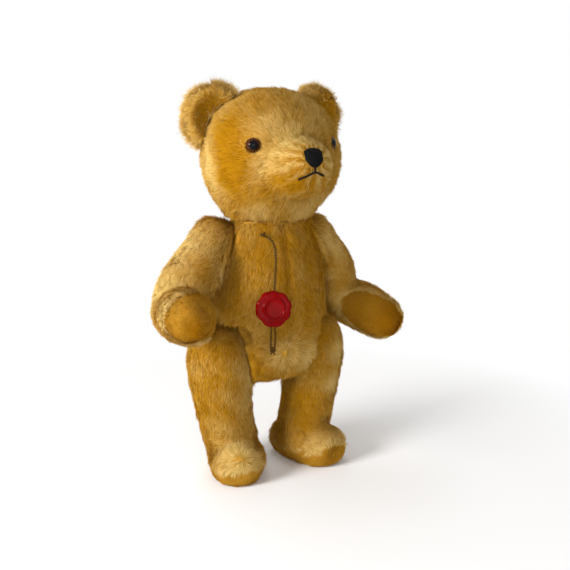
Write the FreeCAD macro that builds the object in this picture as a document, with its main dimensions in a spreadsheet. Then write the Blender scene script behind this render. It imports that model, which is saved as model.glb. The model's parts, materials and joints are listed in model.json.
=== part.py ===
"""Jointed teddy bear: a plush skin over firm stuffing, turning on five disc joints.

Row frame: +Z up, the floor at z = 0, the bear facing -Y with its left side at +X.
The body axis stands a little behind the middle of the base, because the arms reach forward.
"""
import FreeCAD, Part
import math
import os
from FreeCAD import Placement, Rotation, Vector
from types import SimpleNamespace

SIZES = {
    # place of the body axis over the middle of the base
    "axis_side": -4.5, "axis_back": 24.0,
    # cloth and running gaps
    "plush_wall": 3.0, "joint_gap": 0.6, "pocket_gap": 0.4,
    # torso: level ovals from the seat up to the collar, each a half width, half depth and height
    "seat_wide": 18.0, "seat_deep": 16.0, "seat_up": 84.5, "seat_fore": 2.0,
    "rump_wide": 38.0, "rump_deep": 34.0, "rump_up": 96.0, "rump_fore": 2.0,
    "belly_wide": 53.0, "belly_deep": 47.0, "belly_up": 138.0, "belly_fore": 3.0,
    "waist_wide": 52.5, "waist_deep": 44.0, "waist_up": 176.0, "waist_fore": 2.0,
    "chest_wide": 48.0, "chest_deep": 39.0, "chest_up": 208.0, "chest_fore": 0.0,
    "collar_wide": 37.0, "collar_deep": 33.0, "collar_up": 237.0, "collar_fore": 0.0,
    # head: level ovals from the neck to the crown, and upright ovals along the muzzle
    "neck_up": 233.5,
    "throat_wide": 36.0, "throat_deep": 34.0, "throat_up": 231.0, "throat_fore": 3.0,
    "jaw_wide": 49.0, "jaw_deep": 46.0, "jaw_up": 249.0, "jaw_fore": 7.0,
    "cheek_wide": 59.5, "cheek_deep": 55.0, "cheek_up": 271.0, "cheek_fore": 10.0,
    "brow_wide": 60.0, "brow_deep": 55.5, "brow_up": 298.0, "brow_fore": 9.0,
    "crown_wide": 46.0, "crown_deep": 43.0, "crown_up": 326.0, "crown_fore": 7.0,
    "top_wide": 24.0, "top_deep": 22.5, "top_up": 340.5, "top_fore": 6.0,
    "cap_wide": 9.0, "cap_deep": 8.5, "cap_up": 344.0, "cap_fore": 6.0,
    "muzzle_up": 280.0,
    "root_wide": 34.0, "root_high": 31.0, "root_fore": 40.0,
    "snout_wide": 29.0, "snout_high": 25.5, "snout_fore": 62.0,
    "lip_wide": 22.5, "lip_high": 20.0, "lip_fore": 76.0,
    "tip_wide": 13.0, "tip_high": 12.0, "tip_fore": 83.5,
    "end_wide": 6.0, "end_high": 5.5, "end_fore": 85.5,
    "ear_round": 25.5, "ear_rim": 20.0, "ear_thick": 8.0, "ear_side": 48.0, "ear_up": 319.0,
    "ear_splay": 12.0, "bowl_ball": 26.0, "bowl_deep": 7.0,
    "eye_ball": 5.8, "eye_side": 38.0, "eye_stalk": 0.8, "eye_stalk_long": 14.0,
    "nose_wide": 15.5, "nose_foot_wide": 11.0, "nose_tall": 12.5, "nose_proud": 1.6, "nose_up": 282.0,
    "stitch_wide": 1.8, "stitch_relief": 1.0, "stitch_drop": 4.5, "smile_long": 11.0, "smile_slope": 20.0,
    # arms, in the plane that they turn in: ovals from the shoulder to the tip of the paw
    "shoulder_side": 39.0, "right_shoulder_up": 206.0, "left_shoulder_up": 203.0,
    "right_arm_lean": 23.5, "right_arm_splay": 16.0, "left_arm_lean": 26.0, "left_arm_splay": 26.0,
    "right_arm_raise": 35.0, "left_arm_raise": 3.0, "paw_bend": 60.0, "elbow_drop": 71.0,
    "arm_cap_wide": 9.0, "arm_cap_deep": 9.0, "arm_cap_rise": 21.5, "arm_cap_out": 13.0,
    "arm_top_wide": 18.5, "arm_top_deep": 18.0, "arm_top_rise": 15.0, "arm_top_out": 13.0,
    "shoulder_wide": 23.0, "shoulder_deep": 22.5, "shoulder_rise": 0.0, "shoulder_out": 13.5,
    "sleeve_wide": 26.0, "sleeve_deep": 25.5, "sleeve_rise": -38.0, "sleeve_out": 21.5,
    "elbow_wide": 25.0, "elbow_deep": 24.5, "elbow_reach": 0.0, "elbow_out": 23.5,
    "wrist_wide": 24.5, "wrist_deep": 23.0, "wrist_reach": 24.0, "wrist_out": 24.0,
    "paw_wide": 22.5, "paw_deep": 20.0, "paw_reach": 50.0, "paw_out": 24.0,
    "finger_wide": 14.0, "finger_deep": 12.0, "finger_reach": 67.0, "finger_out": 24.0,
    "arm_end_wide": 7.0, "arm_end_deep": 6.0, "arm_end_reach": 71.0, "arm_end_out": 24.0,
    "pad_long": 29.0, "pad_wide": 16.0, "pad_reach": 42.0, "pad_turn": 40.0,
    # legs: ovals from the hip down to the ankle, and upright ovals along the foot
    "hip_side": 30.0, "hip_up": 117.0, "leg_lean": 11.0,
    "leg_cap_wide": 9.0, "leg_cap_deep": 9.5, "leg_cap_rise": 27.0, "leg_cap_out": 18.0,
    "leg_top_wide": 20.0, "leg_top_deep": 20.5, "leg_top_rise": 20.0, "leg_top_out": 19.0,
    "hip_wide": 28.0, "hip_deep": 29.0, "hip_rise": 0.0, "hip_out": 20.5,
    "thigh_wide": 27.0, "thigh_deep": 29.0, "thigh_rise": -36.0, "thigh_out": 24.0,
    "ankle_wide": 25.0, "ankle_deep": 26.5, "ankle_rise": -80.0, "ankle_out": 25.0,
    "instep_wide": 18.0, "instep_deep": 19.0, "instep_rise": -106.0, "instep_out": 25.0,
    "foot_up": 14.0, "foot_out": 24.0, "toe_out": 20.0, "sole_edge": 10.5, "sole_rise": 6.0,
    "heel_cap_wide": 9.0, "heel_cap_high": 8.0, "heel_cap_fore": -27.5,
    "heel_wide": 20.0, "heel_high": 18.5, "heel_fore": -20.0,
    "arch_wide": 25.5, "arch_high": 24.0, "arch_fore": 6.0,
    "ball_wide": 25.0, "ball_high": 22.0, "ball_fore": 30.0,
    "toe_wide": 17.0, "toe_high": 15.0, "toe_fore": 45.0,
    "toe_cap_wide": 8.0, "toe_cap_high": 7.0, "toe_cap_fore": 49.5,
    # disc joints
    "arm_disc": 14.5, "leg_disc": 16.0, "neck_disc": 18.0, "disc_thick": 2.0,
    "washer": 8.0, "washer_thick": 0.8, "pin": 1.3, "pin_fit": 0.08,
    "pin_eye": 2.3, "pin_wire": 0.8, "pin_curl": 3.6,
    # hang tag
    "cord": 1.15, "seal": 14.4, "seal_thick": 4.8, "seal_lobe": 3.8, "seal_lobe_ring": 12.2,
    "seal_ring": 9.4, "seal_ring_wire": 0.9, "seal_turn": 15.0, "seal_hole_fit": 0.25,
    "cord_knot": 3.0, "cord_stitch": 2.6, "tail_long": 19.0, "tail_apart": 1.6,
}
SEAL_LOBES = 11
MEASURE_FINENESS = 0.2  # how closely the surfaces are followed when the whole bear is measured
BEND_SHARE = 0.45      # share of the shorter run that a bend of the cord may take up
REACH = 150.0          # half size of the blocks that trim the soft forms
# the hanging cord from its stitch in the chest to the seal, from the body axis
CORD_ROUTE = [(-20.5, -34.0, 222.0), (-13.5, -42.5, 217.0), (-14.5, -46.5, 200.0), (-18.5, -50.5, 178.0)]
SEAL_AT = (-20.0, -52.5, 161.0)

doc = FreeCAD.newDocument("jointed_teddy_bear")
sheet = doc.addObject("Spreadsheet::Sheet", "sizes")
for row, (alias, value) in enumerate(SIZES.items(), start=1):
    sheet.set(f"A{row}", alias.replace("_", " "))
    sheet.set(f"B{row}", str(value))
    sheet.setAlias(f"B{row}", alias)
doc.recompute()
v = SimpleNamespace(**{alias: float(getattr(sheet, alias)) for alias in SIZES})

BODY = Placement(Vector(v.axis_side, v.axis_back, 0), Rotation())
HALF_GAP = "sizes.joint_gap / 2"
nodes = {}


def bind(item, **rules):
    """Tie properties of an object to the sheet."""
    for name, rule in rules.items():
        item.setExpression(name, rule)
    return item


def sack(name, levels, less, upright="deep"):
    """A smooth closed form through ovals, each given by its sizes' name and its place."""
    ovals = []
    for level, place in levels:
        radii = [f"sizes.{level}_{size} - {less}" for size in ("wide", upright)]
        if getattr(v, f"{level}_{upright}") > getattr(v, level + "_wide"):
            radii.reverse()
            place = place * Placement(Vector(), Rotation(Vector(0, 0, 1), 90))
        oval = bind(doc.addObject("Part::Ellipse", level), MajorRadius=radii[0], MinorRadius=radii[1])
        oval.Placement = place
        ovals.append(oval)
    form = doc.addObject("Part::Loft", name)
    form.Sections, form.Solid = ovals, True
    return form


def inset(names, stations, wall):
    """The stations of a row of ovals, with the two end ones drawn in by the wall."""
    sense = 1 if stations[-1] > stations[0] else -1
    ends = {0: sense * wall, len(names) - 1: -sense * wall}
    return [station + ends.get(count, 0) for count, station in enumerate(stations)]


def block(name, corner, frame=Placement()):
    """A trimming block that runs from a corner towards +X, +Y and +Z of its frame."""
    item = doc.addObject("Part::Box", name)
    item.Length = item.Width = item.Height = 2 * REACH
    item.Placement = frame * Placement(Vector(*corner), Rotation())
    return item


def rod(name, radius, length, at, along, frame=Placement()):
    """A cylinder from a point, along a direction of its frame."""
    item = bind(doc.addObject("Part::Cylinder", name), Radius=radius, Height=length)
    item.Placement = frame * Placement(Vector(*at), Rotation(Vector(0, 0, 1), Vector(*along)))
    return item


def fuse(name, items):
    item = doc.addObject("Part::MultiFuse", name)
    item.Shapes = items
    return item


def pair(kind, name, base, tools):
    """Cut or common of a base with one tool or the union of several."""
    item = doc.addObject(f"Part::{kind}", name)
    item.Base = base
    item.Tool = tools[0] if len(tools) == 1 else fuse(name + "_tools", tools)
    return item


def node(name, item, frame=BODY):
    """Name a finished piece and stand it in its place."""
    item.Label = name
    item.Placement = frame * item.Placement
    nodes[name] = item
    return item


def limb_frame(side, contact_side, up, lean, splay):
    """Frame of a limb's joint: +X out along the pin, +Z up in the plane that the limb turns in."""
    tilt, swing = math.radians(lean), math.radians(splay)
    out = Vector(side * math.cos(tilt) * math.cos(swing), math.cos(tilt) * math.sin(swing), math.sin(tilt))
    back = Vector(0, 0, 1).cross(out).normalize()
    return Placement(Vector(side * contact_side, 0, up), Rotation(out, back, out.cross(back), "XZY"))


SIDES = {"right": -1, "left": 1}
SHOULDER = {name: limb_frame(side, v.shoulder_side, *(getattr(v, f"{name}_{size}") for size in
                                                      ("shoulder_up", "arm_lean", "arm_splay")))
            for name, side in SIDES.items()}
HIP = {name: limb_frame(side, v.hip_side, v.hip_up, -v.leg_lean, 0.0) for name, side in SIDES.items()}
NECK = Placement(Vector(0, 0, v.neck_up), Rotation(Vector(1, 0, 0), Vector(0, 0, 1)))
WALLS = {"outer": 0.0, "inner": v.plush_wall}
LESS = {"outer": "0", "inner": "sizes.plush_wall"}
GAP = v.joint_gap / 2


# ---------------------------------------------------------------- disc joints
def stack_spans():
    """How far the disc, the washer and the pin's end each start from a joint's plane."""
    disc = GAP + v.plush_wall
    washer = disc + v.disc_thick
    return disc, washer, washer + v.washer_thick


def disc_joint(name, moving, disc_size, frame, moving_frame):
    """Two hardboard discs and two steel washers on a split pin, one pair on each side of the joint."""
    disc_at, washer_at, end_at = stack_spans()
    hole = "sizes.pin + sizes.pin_fit"
    for owner, sense, owner_frame in ((moving, 1, moving_frame), (name + "_torso", -1, frame)):
        for piece, radius, thick, at in (("disc", f"sizes.{disc_size}", "sizes.disc_thick", disc_at),
                                         ("washer", "sizes.washer", "sizes.washer_thick", washer_at)):
            plate = rod(piece, radius, thick, (sense * at, 0, 0), (sense, 0, 0))
            bore = rod(piece + "_hole", hole, thick, (sense * at, 0, 0), (sense, 0, 0))
            node(f"{owner}_{piece}", pair("Cut", piece, plate, [bore]), BODY * owner_frame)
    shaft_long = (f"2 * ({HALF_GAP} + sizes.plush_wall + sizes.disc_thick + sizes.washer_thick"
                  " + sizes.joint_gap + sizes.pin_wire)")
    start = -(end_at + v.joint_gap + v.pin_wire)
    shaft = rod("pin_shaft", "sizes.pin", shaft_long, (start, 0, 0), (1, 0, 0))
    eye = bind(doc.addObject("Part::Torus", "pin_eye"), Radius1="sizes.pin_eye", Radius2="sizes.pin_wire")
    eye.Placement = Placement(Vector(-start + v.pin_eye, 0, 0), Rotation())
    curls = []
    for sense in (1, -1):
        curl = bind(doc.addObject("Part::Torus", "pin_curl"), Radius1="sizes.pin_curl",
                    Radius2="sizes.pin_wire")
        curl.Angle3 = 180
        turn = Rotation(Vector(0, 0, 1), -sense * 90)
        if sense > 0:
            turn = turn * Rotation(Vector(1, 0, 0), 180)
        curl.Placement = Placement(Vector(start, sense * v.pin_curl, 0), turn)
        curls.append(curl)
    node(name + "_pin", fuse("pin", [shaft, eye] + curls), BODY * frame)


def joint_pockets(disc_size, sense):
    """The room in a stuffing for a joint's disc, washer and pin end, and the hole in the plush."""
    disc_at, washer_at, end_at = stack_spans()
    curl_room = "sizes.pin_curl * 2 + sizes.pin_wire + sizes.pocket_gap"
    eye_room = "sizes.pin_eye + sizes.pin_wire + sizes.pocket_gap"
    end_long = "sizes.pin_curl" if sense < 0 else "2 * sizes.pin_eye"
    deep = f"{end_long} + 2 * (sizes.joint_gap + sizes.pin_wire)"
    along = (sense, 0, 0)
    return [rod("disc_room", f"sizes.{disc_size}", "sizes.disc_thick", (sense * disc_at, 0, 0), along),
            rod("washer_room", "sizes.washer", "sizes.washer_thick", (sense * washer_at, 0, 0), along),
            rod("pin_room", curl_room if sense < 0 else eye_room, deep, (sense * end_at, 0, 0), along)]


def placed(items, frame):
    for item in items:
        item.Placement = frame * item.Placement
    return items


def pin_hole(sense):
    """The hole that a pin passes through in the plush at a joint."""
    long = f"sizes.plush_wall + 2 * {HALF_GAP}"
    return rod("pin_hole", "sizes.pin + sizes.pocket_gap", long, (0, 0, 0), (sense, 0, 0))


JOINTS = {"neck": ("neck_disc", NECK),
          "right_shoulder": ("arm_disc", SHOULDER["right"]), "left_shoulder": ("arm_disc", SHOULDER["left"]),
          "right_hip": ("leg_disc", HIP["right"]), "left_hip": ("leg_disc", HIP["left"])}


# ---------------------------------------------------------------- torso
def level_stack(names, wall):
    """Level ovals, one above the other."""
    heights = inset(names, [getattr(v, name + "_up") for name in names], wall)
    return [(name, Placement(Vector(0, -getattr(v, name + "_fore"), height), Rotation()))
            for name, height in zip(names, heights)]


def torso_form(layer):
    """One smooth sack, flat where the head and the limbs sit against it."""
    wall, less = WALLS[layer], LESS[layer]
    levels = level_stack(("seat", "rump", "belly", "waist", "chest", "collar"), wall)
    soft = sack("torso_" + layer, levels, less)
    blocks = [block("neck_trim", (-REACH, -REACH, v.neck_up - GAP - wall))]
    for name in SIDES:
        blocks.append(block("shoulder_trim", (-GAP - wall, -REACH, -REACH), SHOULDER[name]))
        thigh_top = v.hip_deep + 2 * GAP + wall
        blocks.append(block("hip_trim", (-GAP - wall, -REACH, thigh_top - 2 * REACH), HIP[name]))
    return pair("Cut", "torso_trimmed", soft, blocks)


def torso():
    outer, inner = torso_form("outer"), torso_form("inner")
    holes, rooms = [], []
    for disc_size, frame in JOINTS.values():
        holes += placed([pin_hole(-1)], frame)
        rooms += placed(joint_pockets(disc_size, -1), frame)
    node("torso_cover", pair("Cut", "torso_skin", outer, [inner] + holes))
    node("torso_stuffing", pair("Cut", "torso_fill", inner, rooms))
    return outer


# ---------------------------------------------------------------- head
def muzzle_form(layer, less):
    """Upright ovals from inside the head to the end of the muzzle."""
    names = ("root", "snout", "lip", "tip", "end")
    reaches = inset(names, [getattr(v, name + "_fore") for name in names], WALLS[layer])
    upright = Rotation(Vector(1, 0, 0), 90)
    levels = [(name, Placement(Vector(0, -reach, v.muzzle_up), upright))
              for name, reach in zip(names, reaches)]
    return sack("muzzle_" + layer, levels, less, "high")


def head_form(layer):
    """Skull and muzzle in one, flat at the neck."""
    wall, less = WALLS[layer], LESS[layer]
    levels = level_stack(("throat", "jaw", "cheek", "brow", "crown", "top", "cap"), wall)
    skull = sack("skull_" + layer, levels, less)
    top = v.neck_up + GAP + wall
    trimmed = pair("Cut", "skull_trimmed", skull, [block("neck_trim", (-REACH, -REACH, top - 2 * REACH))])
    return fuse("head_" + layer, [trimmed, muzzle_form(layer, less)])


def eye_pieces(side):
    """A glass eye, half sunk into the brow, and the steel stalk behind it."""
    front = -v.brow_fore - v.brow_deep * math.sqrt(1 - (v.eye_side / v.brow_wide) ** 2)
    inward = Vector(-side * v.eye_side, -front, 0).normalize()
    at = Vector(side * v.eye_side, front, v.brow_up)
    globe = bind(doc.addObject("Part::Sphere", "eye_globe"), Radius="sizes.eye_ball")
    globe.Placement = Placement(at, Rotation())
    stalk = rod("eye_stalk", "sizes.eye_stalk", "sizes.eye_stalk_long", at, inward)
    return globe, stalk


def ear_piece(side, head_outer):
    """A cupped half round ear that fits against the head."""
    facing = Placement(Vector(side * v.ear_side, 0, v.ear_up),
                       Rotation(Vector(0, 0, 1), side * v.ear_splay) * Rotation(Vector(1, 0, 0), 90))
    rounds = []
    for radius, depth in (("ear_rim", -v.ear_thick), ("ear_round", 0.0), ("ear_rim", v.ear_thick)):
        ring = bind(doc.addObject("Part::Circle", "ear_round"), Radius=f"sizes.{radius}")
        ring.Placement = facing * Placement(Vector(0, 0, depth), Rotation())
        rounds.append(ring)
    whole = doc.addObject("Part::Loft", "ear_whole")
    whole.Sections, whole.Solid = rounds, True
    bowl = bind(doc.addObject("Part::Sphere", "ear_bowl"), Radius="sizes.bowl_ball")
    bowl.Placement = facing * Placement(Vector(0, 0, v.ear_thick + v.bowl_ball - v.bowl_deep), Rotation())
    return pair("Cut", "ear_cup", whole, [bowl, head_outer])


def face_patch(name, tools, proud, head_outer):
    """Embroidery: the part of a proud muzzle that lies inside the given outlines, on the plush."""
    padded = muzzle_form("outer", f"(-sizes.{proud})")
    padded.Placement = Placement(Vector(0, -getattr(v, proud), 0), Rotation())
    return pair("Cut", name + "_patch", pair("Common", name + "_raised", padded, tools), [head_outer])


def nose_outline():
    """A shield that is wide at the brow and narrower at the lip."""
    shield = doc.addObject("Part::Wedge", "nose_outline")
    bind(shield, Xmin="-sizes.nose_foot_wide / 2", Xmax="sizes.nose_foot_wide / 2",
         X2min="-sizes.nose_wide / 2", X2max="sizes.nose_wide / 2", Ymax="sizes.nose_tall")
    shield.Ymin = shield.Zmin = shield.Z2min = 0
    shield.Zmax = shield.Z2max = REACH
    shield.Placement = Placement(Vector(0, -v.snout_fore, v.nose_up), Rotation(Vector(1, 0, 0), 90))
    return shield


def stitch_outlines():
    """One stitch straight down from the nose and two that slope away from its end."""
    strokes = []
    for length, slope in (("stitch_drop", 90.0), ("smile_long", v.smile_slope),
                          ("smile_long", 180.0 - v.smile_slope)):
        bar = bind(doc.addObject("Part::Box", "stitch"), Length=f"sizes.{length}",
                   Height="sizes.stitch_wide")
        bar.Width = REACH
        up = v.nose_up if slope == 90.0 else v.nose_up - v.stitch_drop
        start = Placement(Vector(0, -v.snout_fore - REACH, up), Rotation(Vector(0, 1, 0), slope))
        bar.Placement = start * Placement(Vector(0, 0, -v.stitch_wide / 2), Rotation())
        strokes.append(bar)
    return strokes


def head():
    outer, inner = head_form("outer"), head_form("inner")
    sockets = [piece for side in SIDES.values() for piece in eye_pieces(side)]
    holes = placed([pin_hole(1)], NECK)
    node("head_cover", pair("Cut", "head_skin", outer, [inner] + holes + sockets))
    rooms = placed(joint_pockets("neck_disc", 1), NECK)
    node("head_stuffing", pair("Cut", "head_fill", inner, rooms + sockets))
    for name, side in SIDES.items():
        globe, stalk = eye_pieces(side)
        node(f"{name}_eye_stalk", pair("Cut", "stalk_behind", stalk, [eye_pieces(side)[0]]))
        node(f"{name}_eye", globe)
        node(f"{name}_ear", ear_piece(side, outer))
    node("nose", face_patch("nose", [nose_outline()], "nose_proud", outer))
    node("mouth_stitches", face_patch("mouth", stitch_outlines(), "stitch_relief", outer))


# ---------------------------------------------------------------- arms
def arm_levels(wall):
    """Ovals down the upper arm, and on past the elbow along the bent paw."""
    straight = ("arm_cap", "arm_top", "shoulder", "sleeve")
    bent = ("elbow", "wrist", "paw", "finger", "arm_end")
    levels = []
    for name in straight:
        rise = getattr(v, name + "_rise") - (wall if name == straight[0] else 0)
        levels.append((name, Placement(Vector(getattr(v, name + "_out"), 0, rise), Rotation())))
    for name in bent:
        reach = getattr(v, name + "_reach") - (wall if name == bent[-1] else 0)
        turn = v.paw_bend / 2 if name == "elbow" else v.paw_bend
        along = Rotation(Vector(1, 0, 0), v.paw_bend).multVec(Vector(0, 0, -reach))
        place = Vector(getattr(v, name + "_out"), 0, -v.elbow_drop) + along
        levels.append((name, Placement(place, Rotation(Vector(1, 0, 0), turn))))
    return levels


def arm_form(layer):
    """Upper arm and bent paw in one, flat where it meets the torso."""
    wall = WALLS[layer]
    soft = sack("arm_" + layer, arm_levels(wall), LESS[layer])
    trim = block("contact_trim", (GAP + wall - 2 * REACH, -REACH, -REACH))
    return pair("Cut", "arm_trimmed", soft, [trim])


def pad_outline():
    """A long oval on the inner side of the paw, turned a little up."""
    bend = Rotation(Vector(1, 0, 0), v.paw_bend)
    facing = bend * Rotation(Vector(0, 0, 1), -v.pad_turn) * Rotation(Vector(0, 1, 0), -90)
    middle = Vector(v.paw_out, 0, -v.elbow_drop) + bend.multVec(Vector(0, 0, -v.pad_reach))
    ends = []
    for depth in (0.0, 2 * v.paw_wide):
        oval = bind(doc.addObject("Part::Ellipse", "pad_oval"), MajorRadius="sizes.pad_long",
                    MinorRadius="sizes.pad_wide")
        oval.Placement = Placement(middle, facing) * Placement(Vector(0, 0, depth), Rotation())
        ends.append(oval)
    prism = doc.addObject("Part::Loft", "pad_outline")
    prism.Sections, prism.Solid, prism.Ruled = ends, True, True
    return prism


def mirrored(item):
    """The same form for the left side of the body."""
    twin = doc.addObject("Part::Mirroring", "mirrored")
    twin.Source, twin.Normal, twin.Base = item, Vector(0, 1, 0), Vector(0, 0, 0)
    return twin


def arm(name):
    turn = -SIDES[name] * getattr(v, name + "_arm_raise")
    frame = SHOULDER[name] * Placement(Vector(), Rotation(Vector(1, 0, 0), turn))
    inner = arm_form("inner")
    skin = pair("Cut", "arm_skin", arm_form("outer"), [inner, pin_hole(1)])
    outline = pad_outline()
    forms = {"arm_cover": pair("Cut", "arm_plush", skin, [outline]),
             "paw_pad": pair("Common", "arm_pad", skin, [outline]),
             "arm_stuffing": pair("Cut", "arm_fill", inner, joint_pockets("arm_disc", 1))}
    for part, item in forms.items():
        node(f"{name}_{part}", mirrored(item) if name == "left" else item, BODY * frame)
    disc_joint(f"{name}_shoulder", f"{name}_arm", "arm_disc", SHOULDER[name], frame)


# ---------------------------------------------------------------- legs
def leg_form(layer, name):
    """Thigh, shank and foot in one, flat at the hip and under the foot."""
    wall, less = WALLS[layer], LESS[layer]
    names = ("leg_cap", "leg_top", "hip", "thigh", "ankle", "instep")
    rises = inset(names, [getattr(v, part + "_rise") for part in names], wall)
    shank = sack("shank_" + layer, [(part, Placement(Vector(getattr(v, part + "_out"), 0, rise), Rotation()))
                                    for part, rise in zip(names, rises)], less)
    to_floor = HIP[name].inverse()
    under = HIP[name].multVec(Vector(v.foot_out, 0, v.foot_up - v.hip_up))
    forward = Rotation(Vector(0, 0, 1), SIDES[name] * v.toe_out) * Rotation(Vector(1, 0, 0), 90)
    aim = to_floor * Placement(Vector(under.x, 0, v.foot_up), forward)
    names = ("heel_cap", "heel", "arch", "ball", "toe", "toe_cap")
    reaches = inset(names, [getattr(v, part + "_fore") for part in names], wall)
    foot = sack("foot_" + layer, [(part, aim * Placement(Vector(0, 0, reach), Rotation()))
                                  for part, reach in zip(names, reaches)], less, "high")
    trims = [block("contact_trim", (GAP + wall - 2 * REACH, -REACH, -REACH)),
             block("floor_trim", (-REACH, -REACH, wall - 2 * REACH), to_floor)]
    return pair("Cut", "leg_trimmed", fuse("leg_" + layer, [shank, foot]), trims)


def sole_outline(name):
    """Everything under the sole's seam, which rises a little towards the toes."""
    slope = Placement(Vector(0, 0, v.sole_edge), Rotation(Vector(1, 0, 0), -v.sole_rise))
    return block("sole_outline", (-REACH, -REACH, -2 * REACH), HIP[name].inverse() * slope)


def leg(name):
    frame = HIP[name]
    inner = leg_form("inner", name)
    skin = pair("Cut", "leg_skin", leg_form("outer", name), [inner, pin_hole(1)])
    outline = sole_outline(name)
    node(f"{name}_leg_cover", pair("Cut", "leg_plush", skin, [outline]), BODY * frame)
    node(f"{name}_foot_sole", pair("Common", "leg_sole", skin, [outline]), BODY * frame)
    fill = pair("Cut", "leg_fill", inner, joint_pockets("leg_disc", 1))
    node(f"{name}_leg_stuffing", fill, BODY * frame)
    disc_joint(f"{name}_hip", f"{name}_leg", "leg_disc", frame, frame)


# ---------------------------------------------------------------- hang tag
def seal_frame():
    """Frame of the seal: +Y back up along its cord, +Z out of its face."""
    at = Vector(*SEAL_AT)
    up = (Vector(*CORD_ROUTE[-1]) - at).normalize()
    turn = math.radians(v.seal_turn)
    face = Vector(-math.sin(turn), -math.cos(turn), 0)
    return Placement(at, Rotation(Vector(), up, face, "YZX"))


def seal_disc():
    """A round seal with a lobed rim and a raised ring, bored through for the cord."""
    half = v.seal_thick / 2
    body = [rod("seal_body", "sizes.seal", "sizes.seal_thick", (0, 0, -half), (0, 0, 1))]
    for count in range(SEAL_LOBES):
        angle = 2 * math.pi * count / SEAL_LOBES
        at = (v.seal_lobe_ring * math.sin(angle), v.seal_lobe_ring * math.cos(angle), -half)
        body.append(rod("seal_lobe", "sizes.seal_lobe", "sizes.seal_thick", at, (0, 0, 1)))
    ring = bind(doc.addObject("Part::Torus", "seal_ring"), Radius1="sizes.seal_ring",
                Radius2="sizes.seal_ring_wire")
    ring.Placement = Placement(Vector(0, 0, half), Rotation())
    above = (0, 2 * v.seal, 0)
    bore = rod("seal_bore", "sizes.cord + sizes.seal_hole_fit", "4 * sizes.seal", above, (0, -1, 0))
    return pair("Cut", "seal", fuse("seal_solid", body + [ring]), [bore])


def cord_path(points):
    """Straight runs joined by tangent arcs, each as large as its two runs allow."""
    edges, start = [], points[0]
    for before, corner, after in zip(points, points[1:], points[2:]):
        come, go = (corner - before).normalize(), (after - corner).normalize()
        trim = BEND_SHARE * min((corner - before).Length, (after - corner).Length)
        half_turn = come.getAngle(go) / 2
        radius = trim / math.tan(half_turn)
        inward = (go - come).normalize()
        centre = corner + inward * (radius / math.cos(half_turn))
        arc = Part.Arc(corner - come * trim, centre - inward * radius, corner + go * trim)
        edges += [Part.makeLine(start, corner - come * trim), arc.toShape()]
        start = corner + go * trim
        print(f"cord arc radius {radius:.1f} mm, turn {math.degrees(2 * half_turn):.0f} degrees")
    return Part.Wire(edges + [Part.makeLine(start, points[-1])])


def cord_tube(frame):
    """The cord from its stitch to inside the seal."""
    points = [Vector(*point) for point in CORD_ROUTE]
    points[0] += (points[1] - points[0]).normalize() * (v.cord_stitch + GAP)
    points.append(frame.multVec(Vector(0, -v.seal_lobe_ring, 0)))
    path = cord_path(points)
    ring = Part.Wire(Part.makeCircle(v.cord, points[0], points[1] - points[0]))
    tube = doc.addObject("Part::Feature", "cord_tube")
    tube.Shape = path.makePipeShell([ring], True, True)
    filled = tube.Shape.Volume / (math.pi * v.cord ** 2 * path.Length)
    print(f"cord length {path.Length:.1f} mm, volume {filled:.4f} of its sweep")
    return tube


def cord_tails(knot):
    """Two strands that leave the seal side by side and meet in the knot."""
    seal_edge = v.seal_lobe_ring + v.seal_lobe + GAP
    strands = []
    for side in SIDES.values():
        start = Vector(side * v.tail_apart, -seal_edge, 0)
        end = Vector(side * (v.cord + GAP / 2), -seal_edge - v.tail_long, 0)
        strands.append(rod("tail", "sizes.cord", "sizes.tail_long", start, end - start))
    return pair("Cut", "tails", fuse("strands", strands), [knot])


def hang_tag(torso_outer):
    frame = seal_frame()
    stitch = bind(doc.addObject("Part::Sphere", "stitch_ball"), Radius="sizes.cord_stitch")
    stitch.Placement = Placement(Vector(*CORD_ROUTE[0]), Rotation())
    node("cord_stitch", pair("Cut", "stitch", stitch, [torso_outer]))
    node("tag_cord", cord_tube(frame))
    node("tag_seal", seal_disc(), BODY * frame)
    knot_at = Placement(Vector(0, -v.seal_lobe_ring - v.seal_lobe - GAP - v.tail_long, 0), Rotation())
    knots = [bind(doc.addObject("Part::Sphere", "knot"), Radius="sizes.cord_knot") for _ in range(2)]
    for knot in knots:
        knot.Placement = knot_at
    node("cord_tails", cord_tails(knots[0]), BODY * frame)
    node("cord_knot", knots[1], BODY * frame)


# ---------------------------------------------------------------- the whole bear
hang_tag(torso())
head()
disc_joint("neck", "head", "neck_disc", NECK, NECK)
for side_name in SIDES:
    arm(side_name)
    leg(side_name)

doc.recompute()
for item in doc.Objects:
    if {"Invalid", "Error"} & set(item.State):
        raise RuntimeError(f"{item.Name} could not be built: {item.State}")
os.makedirs("parts", exist_ok=True)
for name, item in nodes.items():
    shape = item.Shape
    if shape.isNull() or not shape.isValid() or not shape.Solids:
        raise RuntimeError(f"{name} is not a valid solid")
    shape.exportStep(f"parts/{name}.step")

points = [point for item in nodes.values() for point in item.Shape.tessellate(MEASURE_FINENESS)[0]]
spans = [f"{axis} {min(row):.1f}..{max(row):.1f}" for axis, row in zip("XYZ", zip(*points))]
print(f"{len(nodes)} nodes, box {', '.join(spans)} mm")
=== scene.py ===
"""A jointed teddy bear in golden mohair plush, standing on a pale studio floor."""
import json
import math

import bmesh
import bpy
import numpy as np
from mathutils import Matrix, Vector
from mathutils.bvhtree import BVHTree


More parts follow.
